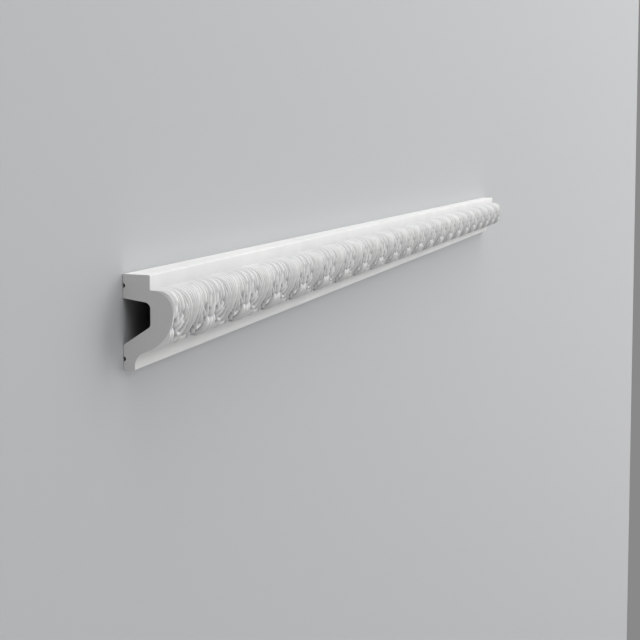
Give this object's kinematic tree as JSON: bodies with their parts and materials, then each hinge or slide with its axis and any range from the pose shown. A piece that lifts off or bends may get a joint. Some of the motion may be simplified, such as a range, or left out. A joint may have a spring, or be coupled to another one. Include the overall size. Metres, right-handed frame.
{
  "type": "wall moulding",
  "caption": "Straight length of moulded wall rail: plain fascia over a bold round carved with acanthus leaves, a cove and lip below, and a hollow back with glue grooves; ends cut square.",
  "frame": {"origin": "middle of the length and of the height, on the back plane that lies against the wall", "axes": "+X along the length, +Y up the wall towards the fascia, +Z out from the wall"},
  "size_m": [2, 0.06, 0.0328],
  "materials": {
    "primed_foam": "matt white factory primer on hard polyurethane foam"
  },
  "bodies": {
    "root": {"wall_moulding": "primed_foam"}
  },
  "joints": []
}
